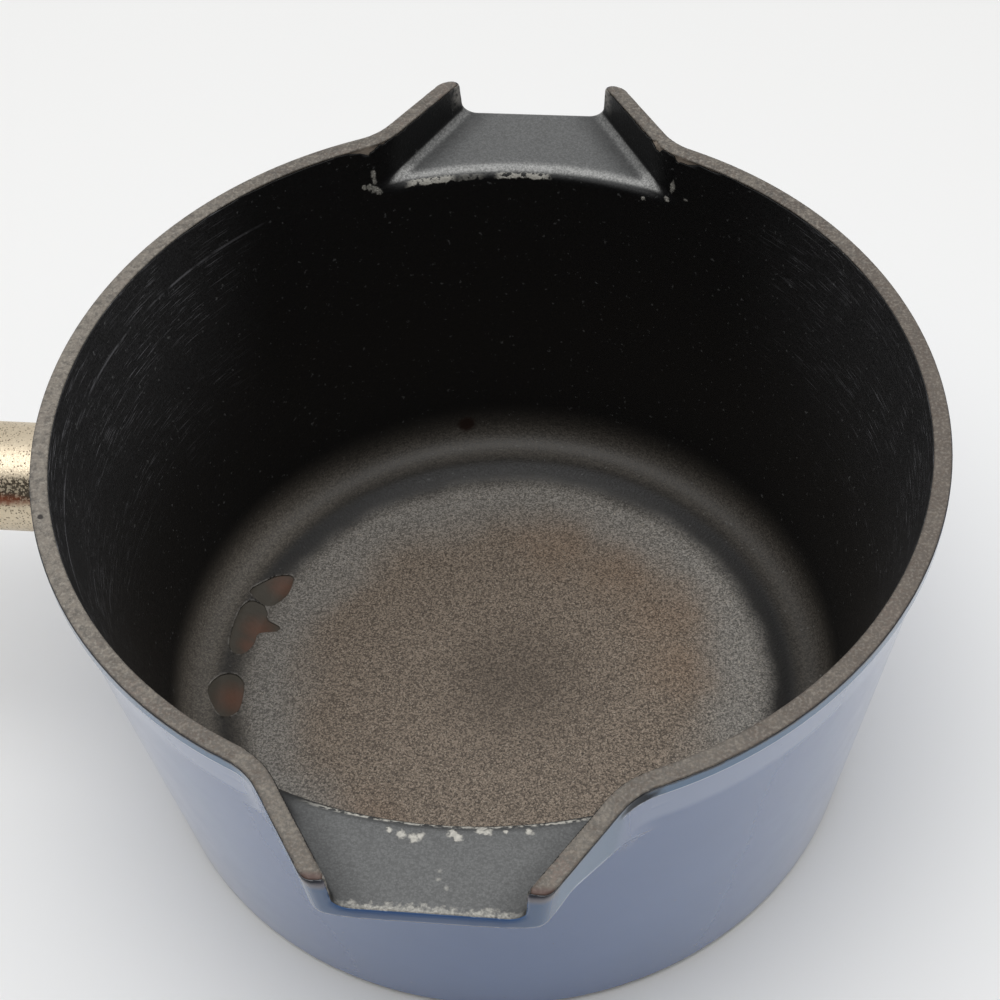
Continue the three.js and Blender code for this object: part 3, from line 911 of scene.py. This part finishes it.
blackSettings = {
    "masks": {
        "soft": ("patches", 0.6, 3.0, 0.6, 0.3, 0.7),
        "sand": ("sum", [("grains", 0.34), 0.65], ["soft", 0.35]),
        "cloud": ("noise", 16),
        "crumb": ("noise", 1.1, 3.0),
        "chipAway": ("attribute", "chipEdge"),
        # walls
        "sides": ("most", ("x", -58, -87), [("x", 45, 88), 0.75]),
        "upper": ("z", 30, 85),
        # spout floors
        "toBack": ("y", -20, 20),
        "toCheek": ("sum", ["along", cheekAcross[1]], ["across", cheekAcross[0]]),
        # painted shade: less film beside the cheeks, most at the back, so the trough floor is darker there
        "thinned": [("toCheek", innerLine - 9, innerLine - 2), ("spread", "toBack", 0.3, 0.55)],
        "bends": [("facing", 0.5, 0.93, 0.1), ("z", 87.5, 96, 1.0)],
        # pot floor
        "greyWaver": ("waver", "radius", "cloud", 14.0),
        "edgeWaver": ("waver", "radius", "cloud", 4.0),
        "leftward": ("sum", "y", ["x", -1.0]),
        "orange": spots(markSettings["orange"], 0.5, 0.9),
        # darker in the middle, and painted shade towards the back left
        "dim": ("most", [("spot", (1, 2, 5), 17, 6, 0.9), 0.45], [("leftward", -40, 70), 0.24]),
        "ring": [("radius", 68.0, 72.5), ("z", 20.0, ledgeZ + 0.5), ("spread", ("x", -40, -72), 0.155, 0.32)],
        "byChips": [("x", -35, -58), ("y", 38, 12)],
        "worn": ("sum", [("radius", 72, 60), ("spread", "byChips", 0.065, 0.3)], "ring"),
        # scale: strips on the back spout's bend, a thread on the front's, crumbs at its tip, and spots
        "hanging": ("waver", "z", "crumb", 1.4),
        "strip": [("hanging", 88.7, 89.9, 0.16), ("y", 10, 20), ("radius", 86, 87), ("crumb", 0.36, 0.48)],
        "strips": ("most", [("x", -28.0, -17.5, 1.2), 0.9], [("x", -16.2, -10.5, 1.2), 0.25],
                   ("x", -7, 5.2, 1.2)),
        "thread": [("z", 90.0, 90.7, 0.2), ("y", -10, -20), ("x", -24, 27, 4.0), ("crumb", 0.42, 0.54)],
        "tipWaver": ("waver", "y", "crumb", 4.0),
        "tip": [("tipWaver", 1.9 - tipY, 0.7 - tipY), ("x", -15, 15, 3.0), ("spread", "sand", 0.45, 1.0)],
        "dull": ("most", ("spot", (-35.7, 81.7, 93.4), 0.55, 0.55, 0.4, (1, 1, 0.25)),
                 ("spot", (34.9, 82.1, 93.0), 0.55, 0.55, 0.4, (1, 1, 0.35)),
                 spots(markSettings["blobs"], 1.5, 0.4)),
        "white": ("most", ["strip", "strips"], "thread", "tip", ["dull", ("spread", "sand", 0.35, 0.8)],
                  spots(markSettings["flakes"], 1.5, 0.4), [spots(markSettings["specks"], 1.5, 0.8), 0.5]),
    },
    "colours": {
        "grey": ["#4c4a46", ("#a39e97", "sand")],
        "floor": [
            "#372f28",
            ("#a09181", "sand"),
            ("grey", ("greyWaver", 43.0, 59.0)),  # grey towards the ledge
            ("#bcb1a2", ("pits", 0.5, 0.14, 0.5), 0.5),  # glints
            ("#8f6a49", "orange", ("spread", "sand", 0.05, 0.24)),
            # a darker middle, and painted shade towards the back left
            ("#372f28", "dim"),
        ],
        "surface": [
            "#060607",
            ("#333334", "sides", ("spread", "upper", 0.1, 1.1), ("spread", "sand", 0.4, 1.0)),  # dust, and painted light that makes the side walls lighter than the back wall
            ("#86868a", ("patches", 1, 3.0, 0.5, 0.58, 0.72, (0.14, 0.14, 4.5)), ("cloud", 0.36, 0.6),
             "upper", "sides", 0.9),  # turned streaks
            # a turned line at the left
            ("#86868a", ("z", 91.8, 92.3, 0.2), ("x", -55, -80), ("patches", 9, 2.0, 0.5, 0.42, 0.55), 0.55),
            ("#6d6e6e", ("crumb", 0.66, 0.74), ("spread", "sides", 0.3, 0.6)),  # specks
            ("#6d6e6e", ("facing", 0.3, 0.85), ("z", 84, 90), ("z", 96.5, 95), ("spread", "sand", 0.6, 1.0),
             ("spread", "thinned", 1.0, 0.0), ("spread", "toBack", 1.0, 0.85)),  # film on the spout floors
            ("#b0b0ae", "bends", "toBack", ("z", 89.8, 90.5), ("spread", "sand", 0.35, 1.1),
             ("spread", ("radius", 91, 93.5), 1.0, 0.4)),  # painted sheen: a highlight on the back spout's bends
            ("#060607", "bends", ("y", 20, -20), ("radius", 96, 93), 0.55),  # shade on the front's
            # bruised mouth ends
            ("#8d8983", ("along", tipY - 5.0, tipY - 2.0), ("z", 94.5, 98.5), ("crumb", 0.3, 0.6), 0.8),
            ("#978f84", ("z", 26, 12), "worn", ("spread", "sand", 0.6, 1.6)),  # the ledge and the cove
            ("floor", ("z", 16, 9), ("edgeWaver", 66.5, 60.5)),
            ("#1e120d", ("spot", (-17.2, 76.7, 12.6), 2.2, 0.7)),  # a rusty pit
            ("#8d8983", ("chipAway", 0.5, 0.1), ("crumb", 0.38, 0.6), 0.4),  # painted highlight along the chips' broken edges
            ("#c4c1b8", "white", ("spread", "soft", 0.6, 0.9)),
        ],
    },
    "shader": {"Specular IOR Level": 0.3, "Roughness": ("spread", "sand", 0.42, 0.58)},
    "bumps": [("soft", 0.03), ("white", 0.15)],
}

# Bare iron: the ground rim, the base and what shows through the chips
rustyPlaces = [((-58.8, 25.5, 6), 3.0), ((-63.0, 11.5, 6), 3.2), ((-64.5, 6.5, 6), 2.2),
               ((-65.2, -9.5, 6), 3.4)]
ironSettings = {
    "masks": {
        "small": ("noise", 1.0, 3.0, 0.7),
        "rough": ("most", ("x", -40, -80), [("y", 20, 70), 0.8]),
        "ragged": ("sum", "y", ("noise", 1.6, 3.0)),
        "rusty": ("most", *[("spot", place, size, 1.0, 0.9) for place, size in rustyPlaces]),
    },
    "colours": {"surface": [
        "#574d45",
        ("#7c756b", ("patches", 5, 4.0, 0.65, 0.36, 0.66)),  # worn
        ("#71635b", ("patches", 14, 2.0, 0.5, 0.57, 0.75)),  # pinkish
        ("#5e5953", ("small", 0.66, 0.38)),
        ("#574d45", ("x", 30, 90), 0.5),  # browner at the right
        ("#8d867c", ("x", -50, -90), 0.45),  # paler at the left
        ("#8d867c", ("patches", 0.6, 2.0, 0.5, 0.46, 0.7), 0.4),  # glints
        ("#474440", ("patches", 1.7, 5.0, 0.75, 0.46, 0.62), ("spread", "rough", 0.2, 0.65)),  # mottling
        ("#a09a90", ("patches", 1.2, 5.0, 0.75, 0.46, 0.7), ("spread", "rough", 0.1, 0.5)),  # shine
        ("#2c2725", ("small", 0.34, 0.25), 0.5),  # pits
        ("#2c2725", ("spot", (-86.2, -32.3, 102.0), 0.5, 0.6)),
        ("#9a8d80", ("z", potTop - 0.2, potTop - 0.6), ("y", 60, 70), 0.8),  # paler in the nicks: the flaked iron's own colour, and painted light on the nicks' shaded faces
        ("#4b302a", ("ragged", 2.9 - tipY, 1.5 - tipY), 0.75),  # rust at the front's tip
        ("#3d382f", ("z", 20, 14)),  # in the chips
        ("#5f3d2c", ("z", 20, 14), "rusty", 0.8),
        ("#5e5953", ("z", 1.6, 0.8), 0.8),  # the base
    ]},
    "shader": {"Specular IOR Level": 0.5, "Metallic": 0.2, "Roughness": ("spread", "small", 0.42, 0.7)},
    "bumps": [("small", 0.06)],
}

blueSheet, blackSheet = makeCoats()
ironMesh = makeIron()
blueCoat = addMesh("blue_enamel_coat", *blueSheet, Finish("blueEnamel", blueSettings).material)
blackCoat = addMesh("black_enamel_coat", *blackSheet, Finish("blackEnamel", blackSettings).material)
ironPot = addMesh("cast_iron_pot", *ironMesh, Finish("bareIron", ironSettings).material)
chipEdge = blackCoat.data.attributes.new("chipEdge", "FLOAT", "POINT")
chipEdge.data.foreach_set("value", -chipField(blackSheet[0]))
for coat in (blueCoat, blackCoat):
    thick = coat.modifiers.new("coat", "SOLIDIFY")
    thick.thickness = potSettings["coat"] * mm
    thick.offset = -1
    bakeModifiers(coat)
finishPiece(blueCoat, "blue_enamel", "outer_enamel")
finishPiece(blackCoat, "black_enamel", "inner_enamel")
finishPiece(ironPot, "bare_iron", "pot_casting")


# Nickel plate: warm, polished, and pitted near the pot
nickelSettings = {
    "masks": {
        "nearPot": ("x", -200, -120),
        "pits": ("pits", 0.6, ("spread", ["nearPot", ("noise", 5, 3.0)], 0.05, 1.3), 0.42),
        "coarse": ("grains", 0.45),
        # painted reflection: a dark speckled band along the tube's front, where it mirrors the unlit side of
        # the room
        "grime": [("z", 79.9, 84.0, 0.5), ("y", -2, -6), "nearPot", ("coarse", 0.8, 0.4)],
        "rust": [("spot", (-110.0, -10.8, 80.0), 1.3, 0.8, 0.6, (0.12, 1, 1)), 0.85],
        "polish": ("spread", ("noise", 2.5, 3.0), 0.36, 0.48),
    },
    "colours": {"surface": [
        "#cfbfa4",
        ("#dfd2bb", ("noise", 9, 3.0, 0.6)),
        ("#4a3c2f", "nearPot", ("patches", 0.9, 3.0, 0.7, 0.5, 0.72), 0.22),  # stains
        ("#4a3c2f", "pits", 0.65),
        # painted reflection of the room's unlit side
        ("#2b221a", "grime", 0.85),
        ("#8a4c33", "rust"),
    ]},
    "shader": {"Metallic": 1.0, "Roughness": ("sum", [("most", "pits", "grime", "rust"), 0.3], "polish")},
    "bumps": [([("grains", 0.5), ("spread", "nearPot", 0.1, 1.0)], 0.03)],
}

# Plain steel of the washers, rod and nut, with fine turning lines round the handle's axis
steelSettings = {
    "masks": {"lines": ("noise", 1, 2.0, 0.5, (3.0, 0.2, 0.2))},
    "colours": {"surface": ["#77787a", ("#a3a4a6", "lines"),
                            ("#4e4a45", ("patches", 3, 3.0, 0.5, 0.55, 0.7), 0.5)]},
    "shader": {"Metallic": 1.0, "Roughness": ("spread", "lines", 0.28, 0.45)},
    "bumps": [("lines", 0.02)],
}

nickelPlate = Finish("nickelPlate", nickelSettings).material
plainSteel = Finish("plainSteel", steelSettings).material
print("metal finishes made")


# A geometry tree with named inputs, whose last steps realize, smooth and paint what it makes
class PieceTree(Bench):
    kinds = {"segments": "NodeSocketInt", "finish": "NodeSocketMaterial"}

    def __init__(self, name, *labels):
        super().__init__(bpy.data.node_groups.new(name, "GeometryNodeTree"))
        self.identifiers = {}
        for label in (*labels, "finish"):
            kind = self.kinds.get(label, "NodeSocketFloat")
            socket = self.tree.interface.new_socket(label, in_out="INPUT", socket_type=kind)
            self.identifiers[label] = socket.identifier
        self.tree.interface.new_socket("Geometry", in_out="OUTPUT", socket_type="NodeSocketGeometry")
        self.inputs = self.make("NodeGroupInput").outputs

    def sweep(self, path, outline):
        inputs = {"Curve": path.outputs[0], "Profile Curve": outline.outputs[0], "Fill Caps": True}
        return self.make("GeometryNodeCurveToMesh", inputs)

    def finish(self, geometry):
        real = self.make("GeometryNodeRealizeInstances", {0: geometry.outputs[0]})
        smooth = self.make("GeometryNodeSetShadeSmooth", {"Geometry": real.outputs[0]})
        painted = self.make("GeometryNodeSetMaterial", {"Geometry": smooth.outputs[0],
                                                        "Material": self.inputs["finish"]})
        self.make("NodeGroupOutput", {0: painted.outputs[0]})

    def build(self, name, **values):
        piece = addObject(name, bpy.data.meshes.new(name))
        nodes = piece.modifiers.new("build", "NODES")
        nodes.node_group = self.tree
        for label, value in values.items():
            nodes[self.identifiers[label]] = value
        weighted = piece.modifiers.new("evenShade", "WEIGHTED_NORMAL")
        weighted.mode = "FACE_AREA"
        bakeModifiers(piece)
        return piece


handleSettings = {
    "tubeWall": 1.5,
    "tubeEdge": 0.6,
    "washerEdge": 0.3,
    "washerBore": 10.5,
    "lockBore": 4.3,
    "slitAngle": 12.0,
    "ringSegments": 96,
    "lockSegments": 64,
    "edgeSteps": 4,
    "threadLength": 32.0,
    "pitch": 1.25,
    "threadDepth": 0.55,
    "rodSegments": 24,
    "ringsPerPitch": 6.0,
}


# A ring round the handle's axis: a filleted rectangle swept round a circle, or round an arc if it is slit
def ringTree():
    ring = PieceTree("turnedRing", "innerRadius", "outerRadius", "start", "length", "edge", "axisHeight",
                     "slitAngle", "segments")
    given = ring.inputs
    middle = ring.times(ring.math("ADD", given["innerRadius"], given["outerRadius"]), 0.5)
    around = {"Resolution": given["segments"], "Radius": middle}
    opening = {"Start Angle": ring.times(given["slitAngle"], 0.5),
               "Sweep Angle": ring.math("SUBTRACT", 2 * math.pi, given["slitAngle"])}
    circle = ring.make("GeometryNodeCurvePrimitiveCircle", around, mode="RADIUS")
    arc = ring.make("GeometryNodeCurveArc", around | opening, mode="RADIUS")
    path = ring.make("GeometryNodeSwitch", {"Switch": ring.math("GREATER_THAN", given["slitAngle"], 0.0),
                                            "False": circle.outputs["Curve"],
                                            "True": arc.outputs["Curve"]}, input_type="GEOMETRY")
    upright = ring.make("GeometryNodeSetCurveNormal", {"Curve": path.outputs[0]}, mode="Z_UP")
    width = ring.math("SUBTRACT", given["outerRadius"], given["innerRadius"])
    sides = {"Width": width, "Height": given["length"]}
    section = ring.make("GeometryNodeCurvePrimitiveQuadrilateral", sides, mode="RECTANGLE")
    fillet = ring.make("GeometryNodeFilletCurve", {"Curve": section.outputs["Curve"], "Radius": given["edge"],
                                                   "Count": handleSettings["edgeSteps"]}, mode="POLY")
    along = ring.math("MULTIPLY_ADD", given["length"], 0.5, given["start"])
    place = ring.combine(ring.times(along, -1.0), 0.0, given["axisHeight"])
    swept = ring.sweep(upright, fillet)
    ring.finish(ring.make("GeometryNodeTransform", {"Geometry": swept.outputs["Mesh"], "Translation": place,
                                                    "Rotation": (0, math.pi / 2, 0)}))
    return ring


# The tie rod: a round bar whose ends are drawn in to a thread
def rodTree():
    rod = PieceTree("threadedRod", "radius", "start", "length", "axisHeight", "threadLength", "pitch",
                    "threadDepth")
    given = rod.inputs
    start, length, pitch = given["start"], given["length"], given["pitch"]
    ends = (start, rod.math("ADD", start, length))
    ends = [rod.combine(rod.times(end, -1.0), 0.0, 0.0) for end in ends]
    line = rod.make("GeometryNodeCurvePrimitiveLine", {"Start": ends[0], "End": ends[1]})
    count = rod.math("DIVIDE", rod.times(length, handleSettings["ringsPerPitch"]), pitch)
    rings = rod.make("GeometryNodeResampleCurve", {"Curve": line.outputs[0], "Count": count})
    circle = rod.make("GeometryNodeCurvePrimitiveCircle", {"Resolution": handleSettings["rodSegments"],
                                                           "Radius": given["radius"]}, mode="RADIUS")
    bar = rod.sweep(rings, circle)
    x, y, z = rod.split(rod.make("GeometryNodeInputPosition").outputs[0])
    fromStart = rod.math("SUBTRACT", rod.times(x, -1.0), start)
    nearEnd = rod.math("MINIMUM", fromStart, rod.math("SUBTRACT", length, fromStart))
    threaded = rod.math("LESS_THAN", nearEnd, given["threadLength"])
    turn = rod.math("DIVIDE", rod.math("ARCTAN2", z, y), 2 * math.pi)
    phase = rod.math("ADD", rod.math("DIVIDE", fromStart, pitch), turn)
    groove = rod.times(rod.math("PINGPONG", phase, 0.5), 2.0)
    cut = rod.times(groove, threaded, given["threadDepth"], -1.0)
    offset = rod.scale(rod.vector("NORMALIZE", rod.combine(0.0, y, z)), cut)
    moved = rod.make("GeometryNodeSetPosition", {"Geometry": bar.outputs[0], "Offset": offset})
    place = rod.combine(0.0, 0.0, given["axisHeight"])
    rod.finish(rod.make("GeometryNodeTransform", {"Geometry": moved.outputs[0], "Translation": place}))
    return rod


def ringPiece(tree, name, node, bore, edge, slitAngle, segments, material):
    low, high = nodeBox(node)
    return tree.build(name, innerRadius=bore * mm, outerRadius=(high[1] - low[1]) / 2 * mm,
                      start=-high[0] * mm, length=(high[0] - low[0]) * mm, edge=edge * mm,
                      axisHeight=handleZ * mm, slitAngle=math.radians(slitAngle), segments=segments,
                      finish=material)


# The end cap along the handle: a plug in the tube, a flange, and a waisted neck to the hanging eye
capSettings = {
    "plugEdge": 0.5,
    "flange": 3.0,
    "flangeEdge": 0.9,
    "neck": 6.0,
    "neckRadius": 5.0,
    "neckStep": 2.5,
    "neckSoft": 0.8,
    "neckLap": (1, 2),
    "eyeRadius": 11.0,
    "eyeHole": 5.5,
    "eyeThickness": 8.0,
    "eyeRound": 2.2,
    "join": 2.5,
    "rodHole": 4.3,
    "fitGap": 0.3,
    "grid": 0.45,
}


def capField(x, y, z):
    low, high = nodeBox("end_cap")
    cap = capSettings
    along = -x
    spread = np.hypot(y, z - handleZ)
    flangeStart = -tubeLow[0] + cap["fitGap"]
    flangeEnd = flangeStart + cap["flange"]
    eyeX = low[0] + cap["eyeRadius"]
    plugRadius = tubeRadius - handleSettings["tubeWall"] - cap["fitGap"]
    plugEnds = np.maximum(-high[0] - along, along - flangeStart - cap["plugEdge"])
    plug = roundMax(spread - plugRadius, plugEnds, cap["plugEdge"])
    flangeEnds = np.abs(along - flangeStart - cap["flange"] / 2) - cap["flange"] / 2
    flange = roundMax(spread - tubeRadius, flangeEnds, cap["flangeEdge"])
    toEye = np.clip((along - flangeEnd) / cap["neck"], 0, 1)
    waist = cap["neckRadius"] + (tubeRadius - cap["neckStep"] - cap["neckRadius"]) * (1 - toEye) ** 2
    before, after = cap["neckLap"]
    neckEnds = np.maximum(flangeEnd - before - along, along - flangeEnd - cap["neck"] - after)
    neck = np.maximum((spread - waist) * cap["neckSoft"], neckEnds)
    inPlane = np.hypot(x - eyeX, y)
    eye = roundMax(inPlane - cap["eyeRadius"], np.abs(z - handleZ) - cap["eyeThickness"] / 2, cap["eyeRound"])
    body = np.minimum(np.minimum(plug, flange), roundMin(neck, eye, cap["join"]))
    body = roundMax(body, cap["eyeHole"] - inPlane, cap["eyeRound"])
    rodHole = np.maximum(spread - cap["rodHole"], along - flangeStart - cap["fitGap"])
    return np.maximum(body, -rodHole)


nutSettings = {
    "acrossFlats": 13.0,
    "flatAngles": (30, 90, 150),
    "chamfer": 6.9,
    "chamferSlope": (0.5, 0.87),
    "bore": 4.3,
    "edge": 0.25,
    "grid": 0.3,
}


def nutField(x, y, z):
    low, high = nodeBox("jam_nut")
    up = z - handleZ
    fromEnd = np.abs(x - (low[0] + high[0]) / 2) - (high[0] - low[0]) / 2
    flats = [np.abs(y * math.cos(a) + up * math.sin(a)) for a in np.radians(nutSettings["flatAngles"])]
    flats = np.maximum.reduce(flats) - nutSettings["acrossFlats"] / 2
    hexagon = roundMax(flats, fromEnd, nutSettings["edge"])
    spread = np.hypot(y, up)
    aside, ahead = nutSettings["chamferSlope"]
    cone = (spread - nutSettings["chamfer"]) * aside + fromEnd * ahead
    return np.maximum(np.maximum(hexagon, cone), nutSettings["bore"] - spread)


def boxGrid(node, step, before=1.3, after=2):
    low, high = nodeBox(node)
    marks = [np.arange(a - before * step, b + after * step, step) for a, b in zip(low, high)]
    return np.stack(np.meshgrid(*marks, indexing="ij"), -1)


rings = ringTree()
parts = handleSettings
tubeBore = tubeRadius - parts["tubeWall"]
tube = ringPiece(rings, "nickel_tube", "handle_tube", tubeBore, parts["tubeEdge"], 0.0,
                 parts["ringSegments"], nickelPlate)
seatWasher = ringPiece(rings, "tube_seat_washer", "seat_washer", parts["washerBore"], parts["washerEdge"],
                       0.0, parts["ringSegments"], plainSteel)
lockWasher = ringPiece(rings, "slit_lock_washer", "lock_washer", parts["lockBore"], parts["washerEdge"],
                       parts["slitAngle"], parts["lockSegments"], plainSteel)
rodLow, rodHigh = nodeBox("tie_rod")
tieRod = rodTree().build("threaded_tie_rod", radius=(rodHigh[1] - rodLow[1]) / 2 * mm, start=-rodHigh[0] * mm,
                         length=(rodHigh[0] - rodLow[0]) * mm, axisHeight=handleZ * mm,
                         threadLength=parts["threadLength"] * mm, pitch=parts["pitch"] * mm,
                         threadDepth=parts["threadDepth"] * mm, finish=plainSteel)
nutMesh = surfaceNet(nutField, boxGrid("jam_nut", nutSettings["grid"]), False)
jamNut = addMesh("hex_jam_nut", *nutMesh, plainSteel)
capMesh = surfaceNet(capField, boxGrid("end_cap", capSettings["grid"]), False)
endCap = addMesh("eye_end_cap", *capMesh, nickelPlate)
finishPiece(tube, "nickel_plate", "handle_tube")
finishPiece(seatWasher, "plain_steel", "seat_washer")
finishPiece(lockWasher, "plain_steel", "lock_washer")
finishPiece(tieRod, "plain_steel", "tie_rod")
finishPiece(jamNut, "plain_steel", "jam_nut")
finishPiece(endCap, "nickel_plate", "end_cap")


# Floor and light: a soft room, pale behind and overhead, dim on the side the camera stands
stageSettings = {
    "paint": {"colours": {"surface": ["#ebebea"]}, "shader": {"Roughness": 0.7}},
    "floorSize": 40000.0,
    "back": 0.8,
    "front": 0.17,
    "frontSide": (0.1, -0.7),
    "frontTop": (0.95, 0.65),
    "keyPower": 10.5,
    "keySize": 1.1,
    "keyPlace": (-50, -200, 1350),
}


def makeStage(settings):
    half = settings["floorSize"] / 2
    corners = [(-half, -half, 0), (half, -half, 0), (half, half, 0), (-half, half, 0)]
    floor = addMesh("paleFloor", corners, [(0, 1, 2, 3)], Finish("palePaint", settings["paint"]).material)

    world = bpy.data.worlds.new("softRoom")
    scene.world = world
    world.use_nodes = True
    room = Bench(world.node_tree)
    toward = room.split(room.make("ShaderNodeTexCoord").outputs["Generated"])
    front = room.step(toward["Y"], *settings["frontSide"])
    front = room.times(front, room.step(toward["Z"], *settings["frontTop"]))
    background = world.node_tree.nodes["Background"]
    background.inputs["Color"].default_value = (1, 1, 1, 1)
    room.feed(background.inputs["Strength"], room.spread(front, settings["back"], settings["front"]))

    lamp = bpy.data.lights.new("ceilingPanel", "AREA")
    lamp.energy = settings["keyPower"]
    lamp.size = settings["keySize"]
    panel = addObject("ceilingPanel", lamp)
    panel.matrix_world = aimed(Vector(settings["keyPlace"]) * mm, Vector())


makeStage(stageSettings)
print("stage lit")
